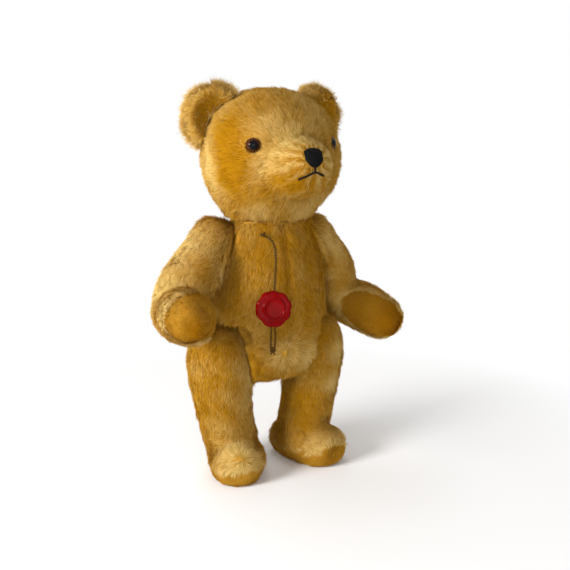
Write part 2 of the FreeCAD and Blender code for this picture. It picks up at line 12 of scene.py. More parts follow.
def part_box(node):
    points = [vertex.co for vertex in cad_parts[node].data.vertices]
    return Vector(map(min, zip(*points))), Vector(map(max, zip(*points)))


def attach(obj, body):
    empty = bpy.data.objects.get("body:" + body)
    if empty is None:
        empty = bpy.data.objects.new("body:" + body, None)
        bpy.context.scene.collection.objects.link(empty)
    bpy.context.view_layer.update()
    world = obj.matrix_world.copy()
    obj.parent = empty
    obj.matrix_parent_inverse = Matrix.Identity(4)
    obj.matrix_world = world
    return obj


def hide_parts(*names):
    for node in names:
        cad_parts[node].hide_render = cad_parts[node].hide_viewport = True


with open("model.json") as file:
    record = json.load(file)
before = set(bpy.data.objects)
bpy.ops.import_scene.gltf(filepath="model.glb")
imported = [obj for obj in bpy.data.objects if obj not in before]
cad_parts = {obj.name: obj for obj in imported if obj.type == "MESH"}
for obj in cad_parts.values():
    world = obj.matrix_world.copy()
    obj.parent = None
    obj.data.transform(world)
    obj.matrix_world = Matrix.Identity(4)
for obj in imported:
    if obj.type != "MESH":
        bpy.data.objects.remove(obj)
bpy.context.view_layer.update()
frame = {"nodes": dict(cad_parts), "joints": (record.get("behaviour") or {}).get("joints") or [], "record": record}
MM = 0.001

# ---- Camera ----
# A normal lens looks at the bear from its right front, a little above its middle.
aim = np.array([9.0, 14.0, 170.4]) * MM
camera_turn, camera_rise = math.radians(-28.0), math.radians(12.0)
camera_away = 721 * MM
camera_back = np.array([math.sin(camera_turn) * math.cos(camera_rise),
                        -math.cos(camera_turn) * math.cos(camera_rise), math.sin(camera_rise)])
lens = bpy.data.cameras.new("camera")
lens.lens, lens.sensor_width = 50.0, 36.0
lens.clip_start, lens.clip_end = 0.01, 50.0
camera = bpy.data.objects.new("camera", lens)
camera.location = aim + camera_back * camera_away
camera.rotation_mode = "QUATERNION"
camera.rotation_quaternion = Vector(-camera_back).to_track_quat("-Z", "Y")
bpy.context.scene.collection.objects.link(camera)
bpy.context.scene.camera = camera

# ---- Tag cord, tails and knot ----
# The hang tag's cord is two plies of dark thread twisted together, with golden glints of light
# painted along their fibres. It leaves a stitch in the chest and hangs down to the seal. Two tails
# come out below the seal and end in an overhand knot.
cord_width = 2.3 * MM
cord_lead = 2.9
ply_pitch = 5.2 * MM
ply_thick, ply_off, ply_sides = 0.31, 0.2, 8
yarn_step = 0.45 * MM
seal_top = 12.2
seal_up = Vector((1.5, 2.0, 17.0)).normalized()
seal_middle = Vector((-24.5, -28.5, 161.0)) * MM
cord_route = [Vector(point) * MM for point in ((-25.0, -10.0, 222.0), (-18.0, -18.5, 217.0),
                                               (-19.0, -22.5, 200.0), (-23.0, -26.5, 178.0))]
cord_route[0] += (cord_route[1] - cord_route[0]).normalized() * cord_lead * MM
cord_route.append(seal_middle - seal_up * seal_top * MM)


def link(name, data, material=None):
    """Stand a new piece in the scene with its material."""
    piece = bpy.data.objects.new(name, data)
    bpy.context.scene.collection.objects.link(piece)
    if material:
        data.materials.append(material)
    return piece


def smooth_line(route):
    """Points along the smooth curve that a route's points pull on."""
    curve = bpy.data.curves.new("route", "CURVE")
    curve.dimensions = "3D"
    spline = curve.splines.new("NURBS")
    spline.points.add(len(route) - 1)
    for point, place in zip(spline.points, route):
        point.co = (*place, 1.0)
    spline.order_u = 3
    spline.use_endpoint_u = True
    spline.resolution_u = 32
    holder = bpy.data.objects.new("route", curve)
    line = bpy.data.meshes.new_from_object(holder)
    points = np.array([vertex.co[:] for vertex in line.vertices])
    bpy.data.objects.remove(holder)
    return points


def unit(rows):
    """Each row's direction, with a length of 1."""
    return rows / np.maximum(np.linalg.norm(rows, axis=-1, keepdims=True), 1e-12)


def evenly(points, step):
    """The same line with its points an even step apart."""
    far = np.concatenate([[0], np.cumsum(np.linalg.norm(np.diff(points, axis=0), axis=1))])
    stations = np.linspace(0, far[-1], max(2, int(far[-1] / step) + 1))
    return np.stack([np.interp(stations, far, points[:, axis]) for axis in range(3)], axis=1)


def ply_rows(line, radius, offset, pitch, phase, sides):
    """Vertices and faces of one round ply that winds round a line."""
    along = unit(np.gradient(line, axis=0))
    side = np.cross(along[0], [0.3, 0.5, 0.81])
    frames = []
    for direction in along:
        side = side - direction * side.dot(direction)
        side /= np.linalg.norm(side)
        frames.append((side, np.cross(direction, side)))
    across, over = (np.array([pair[count] for pair in frames]) for count in (0, 1))
    far = np.concatenate([[0], np.cumsum(np.linalg.norm(np.diff(line, axis=0), axis=1))])
    turn = (2 * math.pi * far / pitch + phase)[:, None]
    middle = line + offset * (across * np.cos(turn) + over * np.sin(turn))
    angles = np.linspace(0, 2 * math.pi, sides, endpoint=False)
    ring = (across[:, None] * np.cos(angles)[None, :, None]
            + over[:, None] * np.sin(angles)[None, :, None])
    rows = (middle[:, None] + ring * radius).reshape(-1, 3)
    count = len(line)
    faces = [(i * sides + j, i * sides + (j + 1) % sides, (i + 1) * sides + (j + 1) % sides,
              (i + 1) * sides + j) for i in range(count - 1) for j in range(sides)]
    faces.append(tuple(reversed(range(sides))))
    faces.append(tuple(range((count - 1) * sides, count * sides)))
    return rows, faces


def yarn_mesh(name, lines, width, pitch, sides=ply_sides):
    """One mesh of two-ply yarn along each line."""
    rows, faces, uvs = [], [], []
    for line in lines:
        line = evenly(np.asarray(line, float), yarn_step)
        for phase in (0.0, math.pi):
            ring, cells = ply_rows(line, width * ply_thick, width * ply_off, pitch, phase, sides)
            start = sum(len(part) for part in rows)
            rows.append(ring)
            faces += [tuple(index + start for index in cell) for cell in cells]
            spot = np.arange(len(ring))
            uvs.append(np.stack([spot % sides / sides, spot // sides * yarn_step / pitch], axis=1))
    mesh = bpy.data.meshes.new(name)
    mesh.from_pydata(np.concatenate(rows).tolist(), [], faces)
    mesh.polygons.foreach_set("use_smooth", [True] * len(mesh.polygons))
    layer = mesh.uv_layers.new(name="along")
    index = np.array([loop.vertex_index for loop in mesh.loops])
    layer.data.foreach_set("uv", np.concatenate(uvs)[index].ravel())
    return mesh


def shader(name, rough, **sockets):
    """A new material with its shader's plain numbers set."""
    material = bpy.data.materials.new(name)
    material.use_nodes = True
    surface = material.node_tree.nodes["Principled BSDF"]
    surface.inputs["Roughness"].default_value = rough
    for socket, value in sockets.items():
        surface.inputs[socket.replace("_", " ")].default_value = value
    return material, material.node_tree, surface


def ramp(tree, source, stops):
    """Colours along a value, as stops of place and colour."""
    made = tree.nodes.new("ShaderNodeValToRGB")
    band = made.color_ramp
    while len(band.elements) < len(stops):
        band.elements.new(0.5)
    for element, (place, colour) in zip(band.elements, stops):
        element.position, element.color = place, (*colour, 1.0)
    tree.links.new(source, made.inputs["Fac"])
    return made.outputs["Color"]


def bump(tree, surface, height, strength, distance):
    """Fine relief on a surface, from a value that stands for its height."""
    made = tree.nodes.new("ShaderNodeBump")
    made.inputs["Strength"].default_value = strength
    made.inputs["Distance"].default_value = distance
    tree.links.new(height, made.inputs["Height"])
    tree.links.new(made.outputs["Normal"], surface.inputs["Normal"])


def object_noise(tree, scale, detail=3.0):
    """A cloudy value that runs through the whole of a piece."""
    place = tree.nodes.new("ShaderNodeTexCoord")
    made = tree.nodes.new("ShaderNodeTexNoise")
    made.inputs["Scale"].default_value = scale
    made.inputs["Detail"].default_value = detail
    tree.links.new(place.outputs["Object"], made.inputs["Vector"])
    return made.outputs[0]


def yarn_material(name, dark, light, rough=0.5, **sockets):
    """Twisted thread: fine fibres run along each ply, as stripes from the dark colour to the light one."""
    material, tree, surface = shader(name, rough, **sockets)
    where = tree.nodes.new("ShaderNodeUVMap")
    where.uv_map = "along"
    fibre = tree.nodes.new("ShaderNodeTexWave")
    fibre.bands_direction = "DIAGONAL"
    fibre.inputs["Scale"].default_value = 2.4
    fibre.inputs["Distortion"].default_value = 1.2
    tree.links.new(where.outputs["UV"], fibre.inputs["Vector"])
    tree.links.new(ramp(tree, fibre.outputs["Fac"], ((0.15, dark), (0.9, light))),
                   surface.inputs["Base Color"])
    bump(tree, surface, fibre.outputs["Fac"], 0.5, 0.15 * MM)
    return material


# The light colour paints golden glints of light on the cord's fibres; the dark one is the thread.
cord_thread = yarn_material("tag_cord_thread", (0.004, 0.002, 0.001), (0.19, 0.10, 0.02), 0.5,
                            Specular_IOR_Level=0.02)
cord_line = evenly(smooth_line(cord_route), 0.5 * MM)
tag_cord = link("tag_cord_twist", yarn_mesh("tag_cord_twist", [cord_line], cord_width, ply_pitch),
                cord_thread)
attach(tag_cord, "tag")
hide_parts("tag_cord")

seal_turn = math.radians(15.0)
seal_face = Vector((-math.sin(seal_turn), -math.cos(seal_turn), 0.0))
seal_side = seal_up.cross(seal_face).normalized()
seal_out = seal_side.cross(seal_up).normalized()
tail_start, tail_end = 15.2 * MM, 34.6 * MM
tail_width, tail_pitch = 1.9 * MM, 4.4 * MM
tail_apart, tail_bulge, tail_wave = 1.5 * MM, 0.5, 0.4
tail_lines = []
for side in (-1, 1):
    points = []
    for step in range(9):
        share = step / 8
        swell = math.sin(math.pi * share) * tail_bulge * MM
        points.append(seal_middle - seal_up * (tail_start + (tail_end - tail_start) * share)
                      + seal_side * side * (tail_apart + swell)
                      + seal_out * tail_wave * MM * math.sin(5 * share))
    tail_lines.append([tuple(point) for point in points])
tails = link("tag_cord_tails", yarn_mesh("tag_cord_tails", tail_lines, tail_width, tail_pitch), cord_thread)
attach(tails, "tag")
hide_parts("cord_tails")

knot_low, knot_size, knot_wide, knot_deep = 35.3, 0.62, 1.1, 0.95
knot_yarn, knot_pitch = 1.8 * MM, 4.0 * MM
knot_middle = seal_middle - seal_up * knot_low * MM
knot_turns = []
for step in range(61):
    angle = 2 * math.pi * step / 60
    reach = (2 + math.cos(3 * angle)) * knot_size * MM
    knot_turns.append(tuple(knot_middle + seal_side * reach * math.cos(2 * angle) * knot_wide
                            + seal_up * reach * math.sin(2 * angle)
                            + seal_out * math.sin(3 * angle) * knot_deep * MM))
ends = [[tuple(knot_middle + seal_side * side * 0.7 * MM - seal_up * (1.2 + 2.6 * share) * MM
               + seal_side * side * share * 0.9 * MM) for share in (0.0, 0.5, 1.0)] for side in (-1, 1)]
knot = link("tag_knot", yarn_mesh("tag_knot", [knot_turns] + ends, knot_yarn, knot_pitch), cord_thread)
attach(knot, "tag")
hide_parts("cord_knot")

stitch_low, stitch_high = (Vector(corner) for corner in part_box("cord_stitch"))
stitch_at = (stitch_low + stitch_high) / 2
stitch_wide, stitch_deep, stitch_proud, stitch_apart = 2.1, 1.5, 0.8, 2.4
stitch_yarn, stitch_pitch = 1.3 * MM, 3.4 * MM
stitch_loops = []
for lean in (-0.5, 0.0, 0.5):
    stitch_loops.append([tuple(stitch_at + Vector((math.cos(angle) * stitch_wide,
                                                   -math.sin(angle) * stitch_deep + stitch_proud,
                                                   lean * stitch_apart + math.cos(angle) * lean)) * MM)
                         for angle in np.linspace(-0.3, math.pi + 0.3, 13)])
stitch = link("cord_stitch_thread",
              yarn_mesh("cord_stitch_thread", stitch_loops, stitch_yarn, stitch_pitch), cord_thread)
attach(stitch, "torso")
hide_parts("cord_stitch")

# ---- Red seal ----
# A round seal of glossy red plastic, moulded like poured wax: a lobed, uneven rim round a plain
# raised ring. The cord runs through it from top to bottom.
seal_lobes, seal_half = 9, 2.4 * MM
seal_core, lobe_reach, rim_uneven, rim_dent = 14.6, 1.3, 0.16, 0.16
seal_outline = 96
seal_profile = [(0.0, 0.92), (0.25, 0.9), (0.46, 0.93), (0.54, 1.05), (0.57, 1.32), (0.6, 1.4),
                (0.63, 1.32), (0.66, 1.05), (0.72, 0.98), (0.82, 1.0), (0.9, 0.92), (0.96, 0.68),
                (0.995, 0.3), (1.0, 0.0), (0.985, -0.45), (0.94, -0.85), (0.85, -1.0), (0.5, -1.0),
                (0.0, -1.0)]
seal_draw = np.random.default_rng(11)
seal_uneven = seal_draw.uniform(-1, 1, (4, 2))


def seal_radius(angle, share):
    """The rim's reach at an angle; the lobes fade out towards the middle."""
    uneven = sum(a * math.sin((count + 2) * angle) + b * math.cos((count + 2) * angle)
                 for count, (a, b) in enumerate(seal_uneven)) * rim_uneven
    lobes = lobe_reach * abs(math.cos(seal_lobes * angle / 2 + 0.5 * math.sin(angle))) ** 0.7
    return (seal_core + (lobes + uneven) * share ** 3) * MM * share


seal_rows, seal_faces = [], []
for share, high in seal_profile[1:-1]:
    for step in range(seal_outline):
        angle = 2 * math.pi * step / seal_outline
        radius = seal_radius(angle, share)
        dent = rim_dent * math.sin(3 * angle + 4 * share) * (high > 0) * (share > 0.7)
        seal_rows.append(seal_middle + seal_side * radius * math.sin(angle)
                         + seal_up * radius * math.cos(angle) + seal_out * seal_half * (high + dent))
for row in range(len(seal_profile) - 3):
    for step in range(seal_outline):
        here, beside = row * seal_outline + step, row * seal_outline + (step + 1) % seal_outline
        seal_faces.append((here, beside, beside + seal_outline, here + seal_outline))
front, rear = len(seal_rows), len(seal_rows) + 1
seal_rows += [seal_middle + seal_out * seal_half * high for _, high in (seal_profile[0], seal_profile[-1])]
last = (len(seal_profile) - 3) * seal_outline
for step in range(seal_outline):
    seal_faces.append((front, (step + 1) % seal_outline, step))
    seal_faces.append((rear, last + step, last + (step + 1) % seal_outline))
seal_mesh = bpy.data.meshes.new("tag_seal_moulding")
seal_mesh.from_pydata([tuple(row) for row in seal_rows], [], seal_faces)
seal_mesh.polygons.foreach_set("use_smooth", [True] * len(seal_mesh.polygons))
red_plastic, tree, surface = shader("red_seal_plastic", 0.2, Specular_IOR_Level=0.035, Coat_Weight=0.03,
                                    Coat_Roughness=0.08)
cloud = object_noise(tree, 90.0)
tree.links.new(ramp(tree, cloud, ((0.3, (0.13, 0.0003, 0.0006)), (0.7, (0.20, 0.0005, 0.001)))),
               surface.inputs["Base Color"])
bump(tree, surface, object_noise(tree, 240.0, 2.0), 0.35, 0.5 * MM)
seal = link("tag_seal_moulding", seal_mesh, red_plastic)
smoother = seal.modifiers.new("rounded", "SUBSURF")
smoother.levels = smoother.render_levels = 1
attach(seal, "tag")
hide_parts("tag_seal")

# ---- Studio ----
# A pale floor fades into a white room. The main lamp stands at the bear's right side, a wide
# weak one in front of it fills the shadows, and one above and behind it lights the pile's edges.
floor_half, floor_level = 6.0, -0.0002
fade_start, fade_end = 0.12, 0.42
floor_mesh = bpy.data.meshes.new("floor")
floor_mesh.from_pydata([(x * floor_half, y * floor_half, floor_level)
                        for x, y in ((-1, -1), (1, -1), (1, 1), (-1, 1))], [], [(0, 1, 2, 3)])
floor_paint, tree, surface = shader("floor_paint", 0.9)
surface.inputs["Base Color"].default_value = (0.93, 0.93, 0.93, 1.0)
white = tree.nodes.new("ShaderNodeEmission")
white.inputs["Color"].default_value = (1, 1, 1, 1)
place = tree.nodes.new("ShaderNodeTexCoord")
reach = tree.nodes.new("ShaderNodeVectorMath")
reach.operation = "LENGTH"
tree.links.new(place.outputs["Object"], reach.inputs[0])
fade = tree.nodes.new("ShaderNodeMapRange")
fade.inputs["From Min"].default_value = fade_start
fade.inputs["From Max"].default_value = fade_end
tree.links.new(reach.outputs["Value"], fade.inputs["Value"])


def joined(tree, operation, first, second):
    """One value made from two."""
    made = tree.nodes.new("ShaderNodeMath")
    made.operation = operation
    tree.links.new(first, made.inputs[0])
    tree.links.new(second, made.inputs[1])
    return made.outputs["Value"]


def mixed(tree, share, first, second):
    """Two finishes mixed, by the share of the second."""
    made = tree.nodes.new("ShaderNodeMixShader")
    tree.links.new(share, made.inputs["Fac"])
    tree.links.new(first, made.inputs[1])
    tree.links.new(second, made.inputs[2])
    return made.outputs["Shader"]


rays = tree.nodes.new("ShaderNodeLightPath").outputs
seen = joined(tree, "MULTIPLY", fade.outputs["Result"], rays["Is Camera Ray"])
tree.links.new(mixed(tree, seen, surface.outputs["BSDF"], white.outputs["Emission"]),
               tree.nodes["Material Output"].inputs["Surface"])
link("floor", floor_mesh, floor_paint)

world = bpy.data.worlds.new("room")
bpy.context.scene.world = world
world.use_nodes = True
tree = world.node_tree
sky = tree.nodes["Background"]
sky.inputs["Color"].default_value = (1.0, 0.97, 0.93, 1.0)
sky.inputs["Strength"].default_value = 0.46
backdrop = tree.nodes.new("ShaderNodeBackground")
backdrop.inputs["Color"].default_value = (1, 1, 1, 1)
backdrop.inputs["Strength"].default_value = 1.0
rays = tree.nodes.new("ShaderNodeLightPath").outputs
either = joined(tree, "MAXIMUM", rays["Is Camera Ray"], rays["Is Transmission Ray"])
any_of = joined(tree, "MAXIMUM", either, rays["Is Glossy Ray"])
tree.links.new(mixed(tree, any_of, sky.outputs["Background"], backdrop.outputs["Background"]),
               tree.nodes["World Output"].inputs["Surface"])

camera_right = np.array([math.cos(camera_turn), math.sin(camera_turn), 0.0])
level_back = unit(camera_back * [1, 1, 0])
for name, sideways, towards, up, size, power in (("key_lamp", -0.95, 0.75, 0.38, 0.45, 21.5),
                                                 ("fill_lamp", 0.2, 1.2, 0.1, 0.9, 6.0),
                                                 ("rim_lamp", -0.2, -0.9, 1.0, 0.7, 4.0)):
    lamp = bpy.data.lights.new(name, "AREA")
    lamp.size, lamp.energy = size, power
    holder = link(name, lamp)
    spot = aim + camera_right * sideways + level_back * towards + np.array([0, 0, up])
    holder.location = spot
    holder.rotation_mode = "QUATERNION"
    holder.rotation_quaternion = Vector(aim - spot).to_track_quat("-Z", "Y")

# ---- Torso ----
# The body is a firm sack of mohair plush with a seam down its front and back. A woven backing
# shows between the hairs. The golden pile, darker at its roots, lies down the body and swirls on
# the belly.
nodes = frame["nodes"]
joints = {joint["name"]: joint for joint in frame["joints"]}
backing_depth = 2.2 * MM
weave_size = 1.7 * MM
seam_deep, seam_wide = 1.5 * MM, 2.2 * MM
pressed_reach, bare_reach = 36 * MM, 13 * MM
pressed_out = 0.85
hair_wide = 0.38 * MM
hair_wander = 0.2
piece_hairs = 64000
clump_primes = np.array([73856093, 19349663, 83492791])
body_axis = np.array([-4.5, 24.0]) * MM
belly_swirl, whorl_pull = (-10.0, -22.0, 117.0), 1.6
limb_joints = ("neck_turn", "right_shoulder_turn", "left_shoulder_turn", "right_hip_turn", "left_hip_turn")


def node_tree(name):
    """What the surface of a CAD node is searched with."""
    mesh = nodes[name].data
    return BVHTree.FromPolygons([vertex.co for vertex in mesh.vertices],
                                [face.vertices for face in mesh.polygons])


class Skin:
    """The backing cloth of one part: its triangles, with what is known at their corners."""

    def __init__(self, piece):
        mesh = piece.data
        mesh.calc_loop_triangles()
        self.piece = piece
        self.rows = np.zeros(len(mesh.vertices) * 3)
        mesh.vertices.foreach_get("co", self.rows)
        self.rows = self.rows.reshape(-1, 3)
        self.normals = np.zeros(len(mesh.vertices) * 3)
        mesh.vertices.foreach_get("normal", self.normals)
        self.normals = self.normals.reshape(-1, 3)
        self.cells = np.zeros(len(mesh.loop_triangles) * 3, int)
        mesh.loop_triangles.foreach_get("vertices", self.cells)
        self.cells = self.cells.reshape(-1, 3)
        edge = self.rows[self.cells]
        self.areas = np.linalg.norm(np.cross(edge[:, 1] - edge[:, 0], edge[:, 2] - edge[:, 0]), axis=1) / 2

    def near(self, node, reach):
        """1 at the corners that lie within a reach of a CAD node, 0 elsewhere."""
        tree = node_tree(node)
        return np.array([tree.find_nearest(Vector(row), reach)[0] is not None for row in self.rows], float)


def close_cover(solids):
    """One part's plush, stuffing and joint plates together, as a mesh to make its cloth from."""
    gathered = bmesh.new()
    for solid in solids:
        gathered.from_mesh(nodes[solid].data)
    bmesh.ops.remove_doubles(gathered, verts=gathered.verts, dist=0.02 * MM)
    mesh = bpy.data.meshes.new(solids[0])
    gathered.to_mesh(mesh)
    gathered.free()
    return mesh


def make_cloth(name, mesh, depth, size, rounds, shape=None):
    """A smooth even cloth a little inside a closed cover."""
    holder = link(name + "_form", mesh)
    weave = holder.modifiers.new("even", "REMESH")
    weave.mode, weave.voxel_size = "VOXEL", size
    soften = holder.modifiers.new("soften", "SMOOTH")
    soften.iterations, soften.factor = rounds, 0.5
    made = bpy.data.meshes.new_from_object(holder.evaluated_get(bpy.context.evaluated_depsgraph_get()))
    bpy.data.objects.remove(holder)
    grid = bmesh.new()
    grid.from_mesh(made)
    keep = max(islands(grid), key=len)
    bmesh.ops.delete(grid, geom=[vertex for vertex in grid.verts if vertex not in keep], context="VERTS")
    bmesh.ops.recalc_face_normals(grid, faces=grid.faces)
    grid.to_mesh(made)
    grid.free()
    count = len(made.vertices)
    rows, normals = np.zeros(count * 3), np.zeros(count * 3)
    made.vertices.foreach_get("co", rows)
    made.vertices.foreach_get("normal", normals)
    rows, normals = rows.reshape(-1, 3), normals.reshape(-1, 3)
    rows = rows - normals * depth
    if shape:
        rows = shape(rows, normals)
    made.vertices.foreach_set("co", rows.ravel())
    made.polygons.foreach_set("use_smooth", [True] * len(made.polygons))
    made.update()
    made.name = name
    return made


def islands(grid):
    """The vertices of each separate shell of a mesh."""
    left, found = set(grid.verts), []
    while left:
        shell, edge = set(), [left.pop()]
        while edge:
            vertex = edge.pop()
            shell.add(vertex)
            for rim in vertex.link_edges:
                other = rim.other_vert(vertex)
                if other in left:
                    left.remove(other)
                    edge.append(other)
        found.append(shell)
    return found


def backing_material(name, dark, light):
    """Woven cotton backing, dyed with the pile: crossed threads with a little unevenness."""
    material, tree, surface = shader(name, 0.9, Specular_IOR_Level=0.2)
    patches = object_noise(tree, 120.0)
    tree.links.new(ramp(tree, patches, ((0.3, dark), (0.75, light))), surface.inputs["Base Color"])
    bump(tree, surface, object_noise(tree, 1400.0, 1.0), 0.6, 0.3 * MM)
    return material


def ripples(rows, size, seed, count=7):
    """Smooth wandering vectors over space, one for each row."""
    draw = np.random.default_rng(seed)
    waves = draw.normal(0, 1, (3, count, 3)) * (2 * math.pi / size / 1.7)
    shifts = draw.uniform(0, 2 * math.pi, (3, count))
    return np.stack([np.sin(rows @ waves[axis].T + shifts[axis]).sum(axis=1) for axis in range(3)],
                    axis=1) / math.sqrt(count / 2)


def blended(low, high, values):
    """0 up to the low value and 1 from the high one, with a soft step between."""
    share = np.clip((values - low) / (high - low), 0, 1)
    return share * share * (3 - 2 * share)


def plant_pile(name, skin, count, comb, length, lift, shade, keep, body, material, seed,
               wide=hair_wide, clump=2.4 * MM, gather=0.32, stray=0.16):
    """Hairs of plush pile: thin tapered blades rooted all over a cloth, combed and clumped.

    A pile with too many hairs for one piece is shared out over several.
    """
    draw = np.random.default_rng(seed)
    corners = skin.rows[skin.cells]
    weight = skin.areas * np.clip(keep(corners.mean(axis=1), skin.cells), 0, 1)
    chosen = draw.choice(len(weight), count, p=weight / weight.sum())
    a, b = draw.random(count), draw.random(count)
    flip = a + b > 1
    a[flip], b[flip] = 1 - a[flip], 1 - b[flip]
    shares = np.stack([1 - a - b, a, b], axis=1)[:, :, None]
    root = (corners[chosen] * shares).sum(axis=1)
    normal = unit((skin.normals[skin.cells[chosen]] * shares).sum(axis=1))

    lie = comb(root) + hair_wander * ripples(root, 16 * MM, seed + 1)
    lie += 0.5 * hair_wander * ripples(root, 6 * MM, seed + 2) + stray * draw.normal(0, 1, (count, 3))
    lie = unit(lie - normal * (lie * normal).sum(axis=1, keepdims=True))
    long = length(root) * draw.uniform(0.72, 1.18, count)
    long = long * (1 + 0.1 * ripples(root, 9 * MM, seed + 3)[:, 0])
    rise = lift(root) + draw.normal(0, 0.13, count) + 0.1 * ripples(root, 7 * MM, seed + 4)[:, 0]
    rise = np.clip(rise, 0.06, 1.45)[:, None]
    start = lie * np.cos(rise) + normal * np.sin(rise)
    bent = rise * 0.35
    onward = lie * np.cos(bent) + normal * np.sin(bent)
    half = root + start * (0.5 * long)[:, None]
    tip = half + onward * (0.5 * long)[:, None]

    cell = np.floor((root + 0.35 * clump * ripples(root, 5 * MM, seed + 5)) / clump).astype(np.int64)
    cell = (cell * clump_primes).sum(axis=1)
    _, group = np.unique(cell, return_inverse=True)
    group = group.ravel()
    held = np.bincount(group)
    pull = gather * draw.uniform(0.5, 1.2, count)[:, None]
    for rows, share in ((half, 0.45), (tip, 1.0)):
        lift_off = rows - root
        mean = np.stack([np.bincount(group, rows[:, axis]) / held for axis in range(3)], axis=1)[group]
        drawn = lift_off + (mean - rows) * pull * share
        short = np.maximum(np.linalg.norm(drawn, axis=1), 1e-9)
        drawn *= (np.linalg.norm(lift_off, axis=1) / short)[:, None]
        rows[:] = root + drawn

    blade = unit(tip - root)
    across = unit(np.cross(blade, normal))
    twist = draw.uniform(-0.6, 0.6, count)[:, None]
    across = across * np.cos(twist) + np.cross(blade, across) * np.sin(twist)
    width = (wide / 2 * draw.uniform(0.7, 1.3, count))[:, None]
    foot = root - normal * 0.4 * MM
    rows = np.stack([foot - across * width, foot + across * width, half + across * width * 0.85,
                     half - across * width * 0.85, tip], axis=1)
    rows[:, :, 2] = np.maximum(rows[:, :, 2], 0.15 * MM)
    tone = np.clip(shade(root) + draw.normal(0, 0.13, count)
                   + 0.06 * ripples(root, 26 * MM, seed + 6)[:, 0], 0.02, 0.98)
    facing = unit(0.8 * normal[:, None] + 0.35 * np.cross(across, blade)[:, None]
                  + 0.25 * blade[:, None] * np.array([0, 0, 0.5, 0.5, 1.0])[None, :, None])

    made = []
    pieces = -(-count // piece_hairs)
    order = np.argsort(draw.random(count)) if pieces > 1 else np.arange(count)
    for number, part in enumerate(np.array_split(order, pieces)):
        hairs = len(part)
        label = f"{name}_{number + 1}" if pieces > 1 else name
        mesh = bpy.data.meshes.new(label)
        mesh.vertices.add(hairs * 5)
        mesh.vertices.foreach_set("co", rows[part].ravel())
        first = np.arange(hairs)[:, None] * 5
        mesh.loops.add(hairs * 7)
        mesh.loops.foreach_set("vertex_index", (first + np.array([0, 1, 2, 3, 3, 2, 4])).ravel())
        mesh.polygons.add(hairs * 2)
        mesh.polygons.foreach_set("loop_start", (np.arange(hairs)[:, None] * 7 + np.array([0, 4])).ravel())
        mesh.update(calc_edges=True)
        mesh.polygons.foreach_set("use_smooth", [True] * (hairs * 2))
        layer = mesh.uv_layers.new(name="OFBake")
        along = np.array([0.03, 0.03, 0.5, 0.5, 0.5, 0.5, 0.97])
        spots = np.stack([np.repeat(tone[part][:, None], 7, axis=1), np.tile(along, (hairs, 1))], axis=2)
        layer.data.foreach_set("uv", spots.ravel())
        mesh.normals_split_custom_set_from_vertices(facing[part].reshape(-1, 3))
        piece = link(label, mesh, material)
        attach(piece, body)
        made.append(piece)
    return made


def pile_material(name, dark, light):
    """Mohair: each hair goes from a deep amber root to a paler tip, and no two are alike."""
    material, tree, surface = shader(name, 0.7, Specular_IOR_Level=0.0)
    where = tree.nodes.new("ShaderNodeUVMap")
    where.uv_map = "OFBake"
    parts = tree.nodes.new("ShaderNodeSeparateXYZ")
    tree.links.new(where.outputs["UV"], parts.inputs["Vector"])
    mix = tree.nodes.new("ShaderNodeMix")
    mix.data_type = "RGBA"
    tree.links.new(parts.outputs["X"], mix.inputs["Factor"])
    for stops, socket in ((dark, "A"), (light, "B")):
        colours = ramp(tree, parts.outputs["Y"], tuple(zip((0.0, 0.45, 1.0), stops)))
        tree.links.new(colours, [one for one in mix.inputs if one.name == socket and one.type == "RGBA"][0])
    shown = [one for one in mix.outputs if one.type == "RGBA"][0]
    tree.links.new(shown, surface.inputs["Base Color"])
    through = tree.nodes.new("ShaderNodeBsdfTranslucent")
    tree.links.new(shown, through.inputs["Color"])
    both = tree.nodes.new("ShaderNodeMixShader")
    both.inputs["Fac"].default_value = 0.38
    tree.links.new(surface.outputs["BSDF"], both.inputs[1])
    tree.links.new(through.outputs["BSDF"], both.inputs[2])
    tree.links.new(both.outputs["Shader"], tree.nodes["Material Output"].inputs["Surface"])
    return material


amber_cloth = backing_material("plush_backing", (0.42, 0.20, 0.015), (0.54, 0.30, 0.04))
body_mohair = pile_material("body_mohair",
                            ((0.15, 0.05, 0.0003), (0.42, 0.185, 0.001), (0.58, 0.30, 0.003)),
                            ((0.50, 0.30, 0.03), (0.80, 0.60, 0.19), (0.95, 0.82, 0.42)))


def from_joint(rows, name):
    """How far points lie from a joint's middle along its axis, and out from that axis."""
    middle, along = np.array(joints[name]["pos_m"]), np.array(joints[name]["axis"])
    off = rows - middle
    flat = off @ along
    return np.abs(flat), np.linalg.norm(off - np.outer(flat, along), axis=1)


def at_joints(rows, names, reach):
    """1 where a limb sits against the body round its joint, 0 away from there."""
    held = np.zeros(len(rows))
    for name in names:
        flat, out = from_joint(rows, name)
        held = np.maximum(held, (1 - blended(3.2 * MM, 6 * MM, flat)) * (out < reach))
    return held


def in_creases(rows, names):
    """1 in the crease round a joint, where the pile stands up between body and limb."""
    deep = np.zeros(len(rows))
    for name in names:
        flat, out = from_joint(rows, name)
        deep = np.maximum(deep, (1 - blended(6 * MM, 16 * MM, flat)) * (1 - blended(40 * MM, 56 * MM, out)))
    return deep


def plush_cloth(name, covers, stuffing, body, rounds=6, shape=None):
    """The cloth of one stuffed part, in place of its CAD covers and its stuffing."""
    def pressed(rows, normals):
        """At a joint's flats the cloths of both parts lie against each other."""
        held = at_joints(rows, limb_joints, pressed_reach)
        rows = rows + normals * (pressed_out * backing_depth * held)[:, None]
        return shape(rows, normals) if shape else rows

    plates = [node for node in frame["record"]["behaviour"]["bodies"][body]
              if node.endswith(("_disc", "_washer"))]
    solids = close_cover(covers + [stuffing] + plates)
    mesh = make_cloth(name, solids, backing_depth, weave_size, rounds, pressed)
    piece = link(name, mesh, amber_cloth)
    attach(piece, body)
    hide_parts(*covers, stuffing)
    return Skin(piece)


